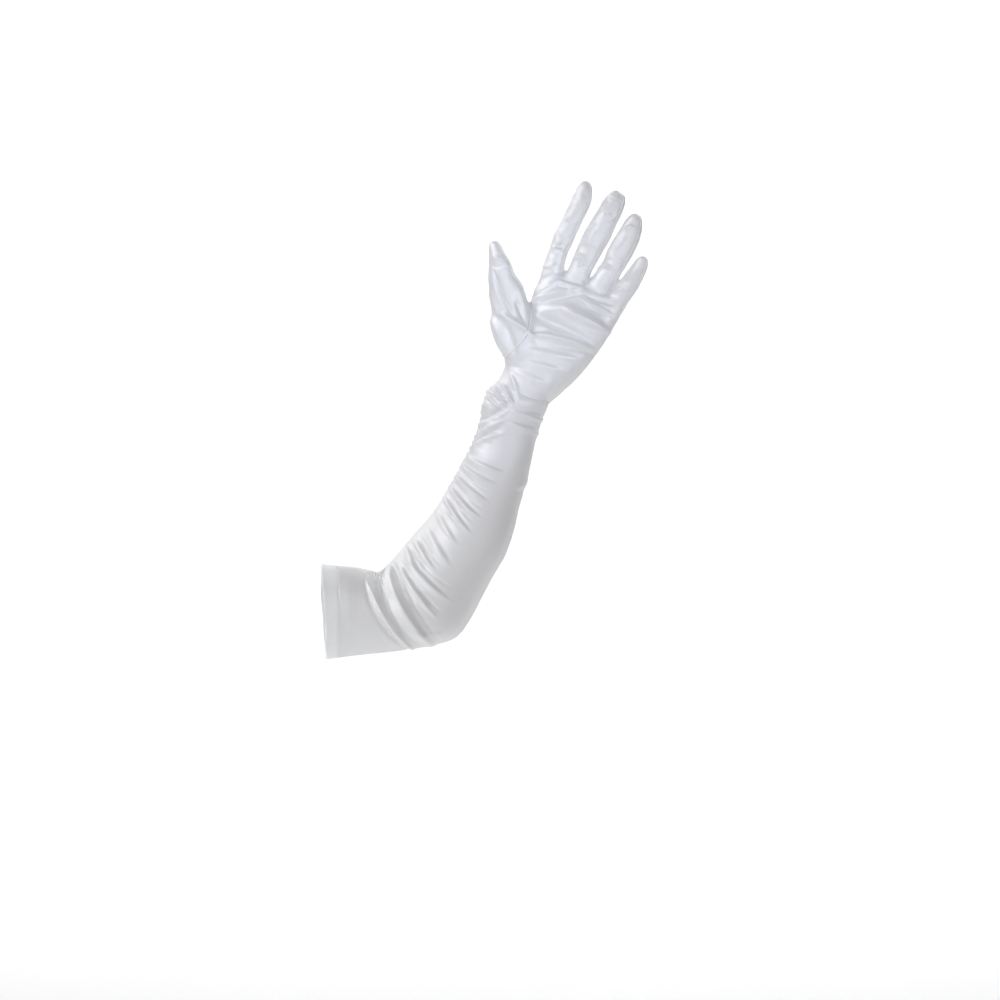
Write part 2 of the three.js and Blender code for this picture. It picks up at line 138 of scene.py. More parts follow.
FOREARM_FOLDS = folds(
    palm=(
        (405, 541, 412, 560, 422, 578, 1.2, 2.4, 0.4), (409, 537, 420, 559, 432, 574, -1.9, 1.4),
        (414, 534, 425, 556, 438, 572, 1.3, 2.2, 0.3), (418, 530, 430, 552, 446, 568, -1.1, 1.3),
        (424, 520, 437, 546, 454, 570, 1, 3.2, 0.3), (436, 508, 446, 528, 460, 548, 1, 2.6, 0.3),
        (442, 500, 450, 514, 466, 534, -1.7, 1.4), (443, 492, 455, 514, 474, 536, 1.8, 2.2, 0.4),
        (447, 487, 458, 506, 478, 526, -1.9, 1.4), (449, 482, 462, 502, 484, 520, 1.9, 2.2, 0.4),
        (452, 477, 465, 495, 486, 510, -1.6, 1.4), (453, 471, 468, 488, 492, 504, 1.9, 2.3, 0.4),
        (457, 465, 471, 481, 494, 494, -1.6, 1.4), (459, 459, 474, 474, 500, 486, 1.7, 2.2, 0.4),
        (466, 455, 484, 466, 508, 474, 1.3, 2.4, 0.4),
    ),
    back=(
        (443, 494, 470, 512, 504, 520, 1.4, 3.2, 0.4), (452, 474, 480, 492, 516, 500, 1.7, 3.2, 0.4),
        (462, 456, 490, 472, 524, 478, 1.6, 3.2, 0.4), (424, 522, 450, 545, 484, 556, 1, 4, 0.3),
    ),
    both=(
        (540, 470, 528, 482, 510, 490, 0.9, 4, 0.3),
    ),
)
WRIST_FOLDS = folds(
    palm=(
        (468, 452, 482, 440, 512, 432, 1.8, 2.2, 0.4), (467, 450, 483, 436, 510, 426, -2, 1.8),
        (469, 447, 486, 430, 512, 418, 2.6, 2.1), (467, 440, 484, 424, 510, 412, -3.2, 2),
        (470, 428, 492, 420, 512, 409, 2.6, 1.9), (468, 421, 490, 415, 510, 404, -3.2, 2),
        (477, 407, 486, 406, 499, 410, 1.2, 3.2), (486, 393, 495, 404, 507, 412, 1.9, 1.4),
        (489, 392, 498, 403, 508, 411, -2, 1.2), (493, 387, 502, 400, 510, 411, 2, 1.3),
        (496, 384, 505, 397, 512, 410, -2.2, 1.2), (500, 381, 508, 394, 514, 408, 2, 1.3),
        (505, 381, 512, 394, 517, 407, -1.9, 1.3), (510, 372, 515, 386, 520, 404, 1.5, 1.8),
        (508, 411, 532, 417, 566, 424, 1.4, 2.6, 0.4), (506, 420, 530, 431, 564, 440, 1.2, 2.6, 0.4),
    ),
    back=(
        (470, 446, 500, 440, 536, 448, 1.8, 3.2, 0.4), (472, 430, 504, 424, 540, 434, 2.2, 3.2, 0.4),
        (474, 412, 504, 406, 542, 418, 2.2, 3.4, 0.4), (478, 396, 506, 392, 546, 410, 2.6, 4, 0.4),
    ),
)
PALM_FOLDS = folds(
    palm=(
        (533, 300, 556, 293, 586, 286, 2.4, 2.4), (534, 306, 558, 299, 592, 294, -2, 1.6),
        (538, 312, 560, 308, 584, 309, 1.4, 3.6), (533, 316, 561, 327, 600, 348, -5.6, 4),
        (556, 309, 584, 320, 618, 338, 3.4, 4.6, -0.3), (528, 337, 556, 338, 602, 353, 3.2, 2.8, 0.3),
        (546, 345, 574, 350, 606, 359, -1.3, 2), (524, 350, 552, 355, 590, 362, 0.9, 3.2, 0.4),
        (516, 359, 544, 367, 574, 373, 0.7, 2.8, 0.4), (508, 368, 530, 378, 556, 388, 0.6, 2.8, 0.4),
        (584, 301, 600, 309, 616, 317, 1.2, 1.7, 0.3), (582, 306, 598, 313, 620, 318, -0.8, 1.2),
        (582, 295, 600, 302, 620, 307, -1.2, 1.2), (600, 297, 610, 300, 624, 300, 1.1, 1.6),
        (556, 280, 572, 286, 592, 290, 1.3, 1.9, 0.4), (554, 284, 568, 290, 582, 294, -1, 1.2),
        (529, 293, 542, 280, 562, 272, -1.4, 1.5), (534, 296, 548, 286, 566, 279, 1.1, 1.8),
    ),
    back=(
        (530, 320, 556, 306, 592, 296, 1, 4, 0.3), (520, 344, 552, 332, 604, 322, 1.1, 4.4, 0.3),
        (508, 366, 540, 356, 590, 350, 1.2, 4.4, 0.3), (536, 284, 566, 274, 612, 296, 0.9, 3, 0.3),
    ),
)
FINGER_FOLDS = folds(
    palm=(
        (541, 264, 549, 267, 558, 264, 0.9, 1.7, 0.3), (552, 246, 558, 250, 566, 248, 1.3, 1.7, 0.4),
        (553, 253, 560, 247, 565, 238, -1.3, 1.3), (558, 234, 563, 240, 571, 240, -1, 1.3),
        (564, 222, 570, 216, 576, 206, 1, 2, 0.4), (571, 224, 577, 216, 582, 204, -0.7, 2.2),
        (582, 194, 586, 198, 591, 197, -0.6, 1.2), (573, 262, 580, 257, 588, 262, 1.6, 2),
        (577, 269, 582, 264, 588, 268, -1.7, 1.8), (583, 248, 590, 240, 595, 228, 1.2, 2.2),
        (590, 250, 598, 240, 604, 226, -0.5, 2.4), (585, 233, 592, 227, 599, 226, -0.9, 1.2),
        (600, 214, 604, 207, 612, 206, 1.3, 1.6), (603, 217, 609, 213, 613, 219, -1.4, 1.5),
        (607, 222, 614, 218, 617, 210, 1.1, 1.6), (596, 272, 604, 266, 614, 270, 1.4, 1.9, 0.4),
        (599, 264, 606, 260, 616, 264, -1.1, 1.3), (604, 258, 612, 246, 620, 232, 1, 2.2),
        (612, 260, 620, 250, 628, 236, -0.8, 2.4), (624, 232, 630, 228, 638, 230, 0.9, 1.7, 0.4),
        (626, 220, 632, 224, 638, 221, -0.5, 1.3), (612, 296, 618, 290, 628, 292, 1.1, 1.7, 0.4),
        (616, 288, 624, 283, 632, 285, -0.9, 1.3), (624, 284, 632, 274, 638, 266, 0.8, 1.8),
        (500, 246, 514, 282, 530, 316, 3.6, 5.6), (492, 266, 502, 296, 517, 324, -3, 1.9),
        (487, 284, 494, 306, 503, 328, 1.2, 2.2), (515, 299, 520, 312, 526, 326, -1.6, 2.2),
        (486, 306, 499, 336, 513, 366, 2.8, 4.6, 0.6), (497, 313, 515, 324, 535, 338, 2.8, 2.6),
        (491, 264, 497, 269, 504, 266, -0.9, 1.3), (492, 257, 497, 260, 502, 258, 0.8, 1.6),
        (505, 322, 511, 341, 519, 362, -2, 3.2),
    ),
    back=(
        (548, 256, 560, 250, 576, 248, 0.7, 2.2, 0.4), (580, 244, 594, 238, 610, 242, 0.7, 2.2, 0.4),
        (606, 258, 618, 254, 630, 260, 0.7, 2.2, 0.4), (494, 290, 504, 306, 516, 316, 0.8, 2.6, 0.4),
    ),
)
FOLD_STEPS = 20
THIN_END = 0.6  # a fold's width at its ends, as a share of its width in the middle
BROAD = 2.0  # a hollow at least this wide is rounded and not a sharp crease
FOLD_REACH = 3.2  # past this many widths a fold no longer moves the cloth
ROUND_POWER = 2.0
CREASE_POWER = 1.25
GENTLE = 0.35  # how much the gentle side of a leaning fold is drawn out
HOLLOW_PLACE = 1.35  # in widths, where the hollow of a leaning fold lies
HOLLOW_WIDTH = 0.75


def from_photo(px, py):
    """Pixels of the photo as x and z in the plane of the bent arm."""
    return np.stack([px - PHOTO_ORIGIN[0], PHOTO_ORIGIN[1] - py], axis=-1) * PIXEL


def smooth(low, high, value):
    """Goes from 0 at low to 1 at high as 3 t squared - 2 t cubed."""
    t = np.clip((value - low) / (high - low), 0, 1)
    return t * t * (3 - 2 * t)


def bump(distance, width):
    """A hump, 1 where the distance is 0, that goes as exp(-(distance / width) squared)."""
    return np.exp(-((distance / width) ** 2))


def full_turn(count):
    """Angles evenly apart round a circle."""
    return np.linspace(0, 2 * np.pi, count, endpoint=False)


def unit(vectors):
    """The vectors at length 1."""
    return vectors / np.maximum(np.linalg.norm(vectors, axis=-1, keepdims=True), 1e-12)


def along(rows, name, at):
    """A column's value at places between its rows, on a Catmull-Rom curve through the rows."""
    values = rows[name]
    last = len(values) - 1
    row = np.clip(np.floor(at).astype(int), 0, last - 1)
    t = at - row
    before, a, b, after = (values[np.clip(row + k, 0, last)] for k in (-1, 0, 1, 2))
    square = 2 * before - 5 * a + 4 * b - after
    cube = 3 * a - before - 3 * b + after
    curve = a + 0.5 * (t * (b - before) + t**2 * square + t**3 * cube)
    return np.where((t < 0) | (t > 1), a + (b - a) * t, curve)


def middle(rows, at):
    return np.stack([along(rows, name, at) for name in "xyz"], axis=-1)


def course(angle):
    """The direction at an angle above +X in the plane of the bent arm."""
    return np.stack([np.cos(angle), 0 * angle, np.sin(angle)], axis=-1)


def tube(rows, at, angle):
    """A tube's points and normals: middle + up across cos(angle) + back deep sin(angle), where up
    and back stand square on the run of the tube. Angle 0 is the left or upper edge as the camera
    sees it, a quarter turn the back, half the right edge."""
    at, angle = np.broadcast_arrays(np.asarray(at, float), np.asarray(angle, float))
    centre = middle(rows, at)
    if "heading" in rows:
        run = course(np.radians(along(rows, "heading", at)))
    else:
        run = unit(middle(rows, at + 0.05) - middle(rows, at - 0.05))
    up = unit(np.stack([-run[..., 2], 0 * run[..., 1], run[..., 0]], axis=-1))
    back = np.cross(up, run)
    across, deep = (along(rows, name, at)[..., None] for name in ("across", "deep"))
    cos, sin = np.cos(angle)[..., None], np.sin(angle)[..., None]
    points = centre + up * across * cos + back * deep * sin
    if "lead" in rows:
        points -= run * along(rows, "lead", at)[..., None] * (points - centre)[..., 1:2] / deep
    return points, unit(up * cos / across + back * sin / deep)


def lift(folds, points, normals):
    """The height of a table of folds at each point. Across its run a ridge is exp(-|s| ** 2) and a
    crease exp(-|s| ** 1.25), with s the distance in widths, shorter on a ridge's steep side, where
    a hollow of part of its height follows. The width goes down to THIN_END of itself at both ends
    of the run, and the height fades to nothing there and towards the other face of the glove."""
    shape = points.shape[:-1]
    flat = points.reshape(-1, 3)[:, ::2]
    facing = normals.reshape(-1, 3)[:, 1]
    total = np.zeros(len(flat))
    t = np.linspace(0, 1, FOLD_STEPS + 1)[:, None]
    ends = [from_photo(folds[c + "x"], folds[c + "y"]) for c in "abc"]
    measures = (folds[name] for name in ("face", "height", "width", "lean"))
    for a, b, c, face, height, width, lean in zip(*ends, *measures):
        bend = 2 * b - (a + c) / 2
        line = a * (1 - t) ** 2 + 2 * bend * t * (1 - t) + c * t**2
        reach = FOLD_REACH * width
        near = np.all((flat > line.min(0) - reach) & (flat < line.max(0) + reach), axis=1)
        toward = -face * facing[near] if face else np.ones(near.sum())
        offset = flat[near][:, None] - line[:-1]
        run = np.diff(line, axis=0)
        part = np.clip((offset * run).sum(-1) / (run**2).sum(-1), 0, 1)
        gap = offset - part[..., None] * run
        distance = np.linalg.norm(gap, axis=-1)
        step = distance.argmin(1)
        pick = np.arange(len(step)), step
        side = np.sign(run[step, 0] * gap[pick][:, 1] - run[step, 1] * gap[pick][:, 0])
        place = (step + part[pick]) / FOLD_STEPS
        taper = THIN_END + (1 - THIN_END) * smooth(0, 0.4, place) * smooth(0, 0.6, 1 - place)
        s = side * distance[pick] / (width * taper)
        steep = np.where(s * lean > 0, 1 + abs(lean), 1 - GENTLE * abs(lean))
        power = CREASE_POWER if height < 0 and width < BROAD else ROUND_POWER
        ridge = np.exp(-(np.abs(s * steep) ** power))
        hollow = abs(lean) * bump(s * np.sign(lean) - HOLLOW_PLACE, HOLLOW_WIDTH)
        fade = smooth(0, 0.3, place) * smooth(0, 0.4, 1 - place) * smooth(-0.35, 0.3, toward)
        total[near] += height * (ridge - hollow) * fade
    return total.reshape(shape)


def undulation(points, pitch, seed, waves=14):
    """Slow unevenness of the cloth: a mean of sine waves, about a pitch long, whose directions
    and phases are drawn from a seed."""
    rng = np.random.default_rng(seed)
    total = np.zeros(points.shape[:-1])
    for _ in range(waves):
        direction = unit(rng.normal(size=3)) * 2 * np.pi / (pitch * rng.uniform(0.7, 1.5))
        total += np.sin(points @ direction + rng.uniform(0, 2 * np.pi))
    return total / np.sqrt(waves / 2)


CREASE_ROUNDING = 0.02
PUFF_LEVEL = 0.8  # what is taken off so that the puffs stand about as far out as in


def billows(run, turn, pitch, seed, waves=9):
    """Small puffs with sharp creases between them, drawn out round the arm or across the hand:
    sqrt(w ** 2 + CREASE_ROUNDING) - PUFF_LEVEL, for a mean w of sines some pitches apart along the
    run that slant by a whole number of waves each turn."""
    rng = np.random.default_rng(seed)
    total = np.zeros(np.broadcast(run, turn).shape)
    for _ in range(waves):
        length = pitch * rng.uniform(1.3, 3.0)
        slant = rng.integers(-2, 3) * turn
        total = total + np.sin(2 * np.pi * run / length + slant + rng.uniform(0, 6.28))
    return np.sqrt(total**2 * 2 / waves + CREASE_ROUNDING) - PUFF_LEVEL


def grid_faces(rows, columns, wrap_rows=False):
    """Quads over a grid of points whose columns close on themselves, and whose rows may too."""
    row = np.arange(rows if wrap_rows else rows - 1)[:, None]
    column = np.arange(columns)[None, :]
    below, beside = (row + 1) % rows, (column + 1) % columns
    corners = (row, column), (row, beside), (below, beside), (below, column)
    return np.stack([(r * columns + c).ravel() for r, c in corners[::-1]], axis=1)


def add_object(name, data):
    """A new object in the scene."""
    made = bpy.data.objects.new(name, data)
    bpy.context.scene.collection.objects.link(made)
    return made


def new_piece(name, points, faces, material):
    """An object at the origin with a smooth mesh; points are in millimetres."""
    mesh = bpy.data.meshes.new(name)
    mesh.from_pydata((points.reshape(-1, 3) * MM).tolist(), [], faces.tolist())
    mesh.shade_smooth()
    mesh.materials.append(material)
    return add_object(name, mesh)


def points_of(mesh):
    """The points of a mesh, in metres."""
    points = np.empty(len(mesh.vertices) * 3, np.float32)
    mesh.vertices.foreach_get("co", points)
    return points.reshape(-1, 3)


def loop_points(mesh):
    """The point at each corner of a mesh's faces."""
    corners = np.empty(len(mesh.loops), np.int32)
    mesh.loops.foreach_get("vertex_index", corners)
    return corners


def lengths(path):
    """How far along a path each of its points lies."""
    return np.append(0, np.linalg.norm(np.diff(path, axis=0), axis=-1).cumsum())


def places(rows, start, end, count):
    """Places in a table from start to end, evenly apart along the tube, with their lengths along
    it and the length at the end; end may be an array."""
    fine = np.linspace(0, len(rows["x"]) - 1, 600)
    length = lengths(middle(rows, fine))
    first, last = np.interp(start, fine, length), np.interp(end, fine, length)
    u = np.linspace(0, 1, count)[:, None]
    run = first + (last - first) * u
    return np.interp(run, length, fine), run, last


# The long seam of the sleeve, by rows of the table: it follows the left edge and shows only in the
# crook of the elbow
SEAM_COURSE = table(
    "row angle",
    (0, 0.12), (1.6, 0.0), (2.6, -0.34), (4.2, -0.36), (5.6, 0.02), (8, 0.15), (18, 0.1),
)
# How high the small puffs of the sleeve stand
BILLOWS = table(
    "row height",
    (0, 0.0), (1.6, 0.02), (2.6, 0.18), (4.5, 0.28), (6.5, 0.1), (9, 0.03), (11, 0.1), (13, 0.22),
    (16.5, 0.35), (18, 0.2),
)
# How high the puckers beside the long seam stand
SEAM_PUCKER = table(
    "row height",
    (0, 0.1), (2.4, 0.25), (3.2, 1.1), (4.4, 0.9), (6, 0.3), (8, 0.2), (10.4, 0.5), (12, 1.0),
    (14, 0.9), (17, 0.4),
)
PUCKER_PITCH = 5.2
PUCKER_DRIFT = 7.1  # the pitch of the puckers swells and shrinks over about this length
PUCKER_REACH = 5.5
SEAM_GROOVE_DEPTH = 0.5
SEAM_GROOVE_WIDTH = 1.4


def seam_angle(at):
    """Where the long seam lies round the arm, with a slow wander of its own."""
    return np.interp(at, SEAM_COURSE["row"], SEAM_COURSE["angle"]) + 0.03 * np.sin(1.3 * at)


def seam_puckers(at, angle, run):
    """A narrow groove along the seam, and short puckers square to it whose height is a sine along
    the seam and fades as exp(-(d / PUCKER_REACH) ** 1.5) with the distance d from it."""
    turn = (angle - seam_angle(at) + np.pi) % (2 * np.pi) - np.pi
    distance = turn * along(ARM, "across", at)
    height = np.interp(at, SEAM_PUCKER["row"], SEAM_PUCKER["height"])
    phase = 1.2 * np.sin(run / PUCKER_DRIFT) + 0.5 * np.sign(distance)
    wave = np.sin(2 * np.pi * run / PUCKER_PITCH + phase)
    fade = np.exp(-((np.abs(distance) / PUCKER_REACH) ** 1.5))
    return height * fade * wave - SEAM_GROOVE_DEPTH * bump(distance, SEAM_GROOVE_WIDTH)


SLEEVE_ROWS = 400
SLEEVE_COLUMNS = 190
INNER_ROWS = 60
MAP_LENGTH = 262  # what the cloth's own map takes for the length of the sleeve
MAP_GIRTH = 2 * np.pi * 32  # and for its girth
PUFF_PITCH = 5.5
BUNCH = 1.4  # the roll of bunched cloth at the wrist: its height, place and width
BUNCH_PLACE = 8
BUNCH_WIDTH = 5
TUCK_LENGTH = 5.0
TUCK_DEPTH = 4.6
WRIST_EDGE = table("size count phase", (0.14, 2, 0.6), (0.06, 5, 2))


def wavy(rows, angle):
    """A sum of sines round the arm, each size * sin(count * angle + phase)."""
    return sum(
        size * np.sin(count * angle + phase)
        for size, count, phase in zip(rows["size"], rows["count"], rows["phase"])
    )


def arm_wall(at, angle, run, end, inset):
    """The sleeve's surface: the tube lifted by its folds, its unevenness and the puckers of its
    seam, and tucked in like a quarter circle at its bunched end."""
    points, normals = tube(ARM, at, angle)
    height = lift(ELBOW_FOLDS, points, normals) + lift(FOREARM_FOLDS, points, normals)
    height += lift(WRIST_FOLDS, points, normals)
    shown = 0.25 + 0.75 * smooth(-0.2, 0.8, np.cos(angle))
    puffs = np.interp(at, BILLOWS["row"], BILLOWS["height"])
    height += puffs * shown * billows(run, angle, PUFF_PITCH, 3)
    height += 0.09 * undulation(points, 17, 3) * smooth(0.5, 2.5, at)
    height += 0.13 * undulation(points, 36, 5)
    height += seam_puckers(at, angle, run)
    left = end - run
    height += BUNCH * bump(left - BUNCH_PLACE, BUNCH_WIDTH)
    tuck = np.clip(1 - left / TUCK_LENGTH, 0, 1)
    height -= TUCK_DEPTH * (1 - np.sqrt(1 - tuck**2))
    return points + normals * (height - inset)[..., None]


def make_sleeve(material):
    """The tube from the hem to the wrist, as an outer and an inner grid joined at both ends."""
    angle = full_turn(SLEEVE_COLUMNS)[None, :]
    end = WRIST + wavy(WRIST_EDGE, angle)
    start = hem_place() - 0.04
    walls = []
    for count, inset in ((SLEEVE_ROWS, 0), (INNER_ROWS, CLOTH)):
        at, run, last = places(ARM, start, end, count)
        walls.append(arm_wall(at, angle, run, last, inset))
    points = np.concatenate([walls[0], walls[1][::-1]])
    rows = len(points)
    outer_run = np.linspace(0, 1, SLEEVE_ROWS) * MAP_LENGTH
    runs = np.append(outer_run, outer_run[-1] + np.linspace(0, 1, INNER_ROWS) * MAP_LENGTH)
    piece = new_piece("sleeve_satin", points, grid_faces(rows, SLEEVE_COLUMNS, True), material)
    grid_uv(piece, runs, SLEEVE_COLUMNS, MAP_GIRTH)
    return piece


def set_uv(mesh, uv):
    """The cloth's own map, given in millimetres for each corner of the faces, kept in metres."""
    layer = mesh.uv_layers.new(name="cloth")
    layer.data.foreach_set("uv", (uv * MM).astype(np.float32).ravel())


def grid_uv(piece, runs, columns, girth):
    """A map along the run of a grid and around it."""
    mesh = piece.data
    row, column = np.divmod(loop_points(mesh), columns)
    face = np.repeat(np.arange(len(mesh.polygons)), 4)
    first = face % columns
    around = np.where((first == columns - 1) & (column == 0), columns, column) / columns * girth
    set_uv(mesh, np.stack([around, runs[row]], axis=-1))


def hem_place():
    """The row of the table at which the hem band ends."""
    fine = np.linspace(0, 2, 400)
    return np.interp(HEM_WIDTH, np.linalg.norm(middle(ARM, fine), axis=-1), fine)


HEM_COLUMNS = 240
HEM_GIRTH = 2 * np.pi * 37  # for the cloth's own map
HEM_STITCHES = 84
HEM_STITCH_IN = 1.3  # from the edge of the band to the stitches
HEM_PROUD = 0.25
PAST_MOUTH = 4  # how far the band's table goes on past the mouth
FIRST_GAP = 14.6  # millimetres between the first two rows of the arm's table
MOUTH_EDGE = table("size count phase", (0.35, 3, 1), (0.25, 7, 2.2))
MOUTH_FLARE = table("size count phase", (0.3, 5, 0.4), (0.2, 11, 0))
STITCH_GROOVE = 0.35
GROOVE_WIDTH = 0.8
STITCH_PUCKER = 0.16
PUCKER_WIDTH = 3.2


def hem_surface(distance, angle, inset):
    """A point of the band a distance from the mouth; the mouth's edge waves a little and flares,
    and a shallow groove with small puckers runs under the stitches."""
    first_row = -PAST_MOUTH / FIRST_GAP
    at = np.interp(distance, [-PAST_MOUTH, 0, HEM_WIDTH], [first_row, 0, hem_place()])
    points, normals = tube(ARM, at, angle)
    to_mouth = np.clip(1 - distance / HEM_WIDTH, 0, 1.2)
    points[..., 0] += wavy(MOUTH_EDGE, angle) * to_mouth**2
    flare = (0.5 + wavy(MOUTH_FLARE, angle)) * to_mouth**2
    from_line = distance - HEM_WIDTH + HEM_STITCH_IN
    beat = np.sin(HEM_STITCHES * angle + 2 * np.sin(3 * angle))
    groove = STITCH_PUCKER * bump(from_line, PUCKER_WIDTH) * beat
    groove -= STITCH_GROOVE * bump(from_line, GROOVE_WIDTH)
    return points + normals * (flare + groove + HEM_PROUD - inset)[..., None], normals


def make_hem(material):
    """A ring whose section is a long loop with round ends: out along the outside of the band, round
    the fold at the mouth and back along the inside."""
    half = HEM_CLOTH / 2
    turn = np.linspace(0, np.pi, 9)
    bulge = half * np.sin(turn)
    step = half * np.cos(turn)
    outer = np.linspace(HEM_WIDTH - half, half, 34)
    inner = outer[::-3]
    distance = np.concatenate([outer, half - bulge, inner, HEM_WIDTH - half + bulge])
    inset = np.concatenate([0 * outer, half - step, 0 * inner + HEM_CLOTH, half + step])
    angle = full_turn(HEM_COLUMNS)[None, :]
    points, _ = hem_surface(distance[:, None], angle, inset[:, None] + 0 * angle)
    piece = new_piece("hem_band_satin", points, grid_faces(len(distance), HEM_COLUMNS, True), material)
    grid_uv(piece, lengths(np.stack([distance, inset], axis=-1)), HEM_COLUMNS, HEM_GIRTH)
    return piece


VOXEL = 0.93
HAND_HEADING = np.radians(64)
HAND_START = 16.5  # the row at which the hand begins, inside the bunched end of the sleeve
HAND_OPEN = np.array(16.8)  # and where it is cut open
PALM_STEPS = 60
KNUCKLE_STEPS = 5
PALM_COLUMNS = 96
FINGER_STEPS = 80
FINGER_COLUMNS = 48
# Spots of the hand that are smoothed more than the rest: between the fingers, and round the thumb
WEBS = table(
    "px py reach",
    (566, 271, 8), (582, 290, 7), (606, 297, 7), (529, 299, 10), (540, 280, 9), (632, 300, 8),
)
THUMB_BLEND = table(
    "px py reach",
    (508, 366, 12), (504, 352, 8), (522, 345, 8), (531, 325, 8), (531, 308, 11),
)
ALL_ROUNDS = 10
WEB_ROUNDS = 70
THUMB_ROUNDS = 120


def closed_tube(rows, at, columns, squeeze=1.0):
    """A tube with a point at each end; squeeze scales its sections about their middles."""
    angle = full_turn(columns)[None, :]
    points, _ = tube(rows, at[:, None], angle)
    centre = middle(rows, at)[:, None]
    points = centre + (points - centre) * np.broadcast_to(squeeze, at.shape)[:, None, None]
    count = points.shape[0] * columns
    rim = np.arange(columns)
    beside = (rim + 1) % columns
    faces = grid_faces(len(at), columns).tolist()
    for pole, first, order in ((count, 0, -1), (count + 1, count - columns, 1)):
        fan = np.stack([0 * rim + pole, first + rim, first + beside], 1)[:, ::order]
        faces += fan.tolist()
    poles = [points[end].mean(0)[None] for end in (0, -1)]
    return np.concatenate([points.reshape(-1, 3), *poles]), faces


def remeshed(parts, size):
    """Closed shells melted into one skin of even quads, as points and faces."""
    points, faces = [], []
    for part_points, part_faces in parts:
        base = sum(len(p) for p in points)
        points.append(part_points)
        faces += [[base + corner for corner in face] for face in part_faces]
    mesh = bpy.data.meshes.new("melt")
    mesh.from_pydata((np.concatenate(points) * MM).tolist(), [], faces)
    rough = add_object("melt", mesh)
    modifier = rough.modifiers.new("skin", "REMESH")
    modifier.mode = "VOXEL"
    modifier.voxel_size = size * MM
    melted = rough.evaluated_get(bpy.context.evaluated_depsgraph_get()).to_mesh()
    skin, quads = points_of(melted).astype(float) / MM, loop_points(melted).reshape(-1, 4)
    bpy.data.objects.remove(rough)
    return skin, quads


def faces_edges(faces):
    """The edges of some quads, each once, as pairs of points."""
    pairs = np.concatenate([faces[:, [k, (k + 1) % 4]] for k in range(4)])
    return np.unique(np.sort(pairs, axis=1), axis=0)


def relaxed(points, faces, rounds, weight):
    """Each round moves a point halfway to the mean of its neighbours, times its weight."""
    a, b = faces_edges(faces).T
    near = np.bincount(a, minlength=len(points)) + np.bincount(b, minlength=len(points))
    share = (0.5 * weight / near)[:, None]
    for _ in range(rounds):
        total = [
            np.bincount(a, points[b, k], len(points)) + np.bincount(b, points[a, k], len(points))
            for k in range(3)
        ]
        points = points + share * (np.stack(total, 1) - points * near[:, None])
    return points


def point_normals(points, faces):
    """Normals at the points, from the cross products of the quads' diagonals."""
    p = points[faces]
    cross = np.cross(p[:, 2] - p[:, 0], p[:, 3] - p[:, 1])
    total = np.zeros_like(points)
    for k in range(4):
        for axis in range(3):
            total[:, axis] += np.bincount(faces[:, k], cross[:, axis], len(points))
    return unit(total)


def near_spots(spots, points):
    """1 at a table of spots, seen from the palm, and 0 past their reach."""
    flat = points[:, ::2]
    weight = np.zeros(len(points))
    for spot, reach in zip(from_photo(spots["px"], spots["py"]), spots["reach"]):
        weight = np.maximum(weight, np.exp(-((flat - spot) ** 2).sum(1) / reach**2))
    return weight


def hand_skin():
    """The hand, its fingers and the thumb as one skin with rounded webs, before its folds."""
    end = len(ARM["x"]) - 1
    palm_at = np.append(np.linspace(HAND_START, end, PALM_STEPS), np.full(KNUCKLE_STEPS, end))
    squeeze = np.append(np.ones(PALM_STEPS), np.linspace(0.98, 0.7, KNUCKLE_STEPS))
    parts = [closed_tube(ARM, palm_at, PALM_COLUMNS, squeeze)]
    for rows in FINGERS.values():
        at = np.linspace(0, len(rows["x"]) - 1, FINGER_STEPS)
        parts.append(closed_tube(rows, at, FINGER_COLUMNS))
    points, faces = remeshed(parts, VOXEL)
    points = relaxed(points, faces, ALL_ROUNDS, np.ones(len(points)))
    points = relaxed(points, faces, WEB_ROUNDS, near_spots(WEBS, points))
    return relaxed(points, faces, THUMB_ROUNDS, near_spots(THUMB_BLEND, points)), faces


def seam_line(count=160):
    """The thumb's seam in the plane of the arm, on a Catmull-Rom curve through its table."""
    at = np.linspace(0, len(THUMB_SEAM["px"]) - 1, count)
    return from_photo(along(THUMB_SEAM, "px", at), along(THUMB_SEAM, "py", at))


def nearest_on(line, flat):
    """The nearest point of a line to each point, and its distance."""
    nearest = np.empty_like(flat)
    distance = np.empty(len(flat))
    for part in np.array_split(np.arange(len(flat)), max(1, len(flat) // 4000)):
        offset = np.linalg.norm(flat[part, None] - line, axis=-1)
        pick = offset.argmin(1)
        nearest[part], distance[part] = line[pick], offset[np.arange(len(part)), pick]
    return nearest, distance


def inside(outline, flat):
    """Whether each point lies inside an outline, by counting the sides it crosses."""
    result = np.zeros(len(flat), bool)
    for a, b in zip(outline, np.roll(outline, -1, axis=0)):
        straddles = (a[1] > flat[:, 1]) != (b[1] > flat[:, 1])
        rise = b[1] - a[1] if b[1] != a[1] else 1e-9
        crossing = (b[0] - a[0]) * (flat[:, 1] - a[1]) / rise + a[0]
        result ^= straddles & (flat[:, 0] < crossing)
    return result


HAND_RADIUS = 16  # turns a way across the hand into an angle for its puffs
FINGERS_FROM = 285  # along the hand's heading, where the puffs of the fingers set in
FINGERS_FULL = 320


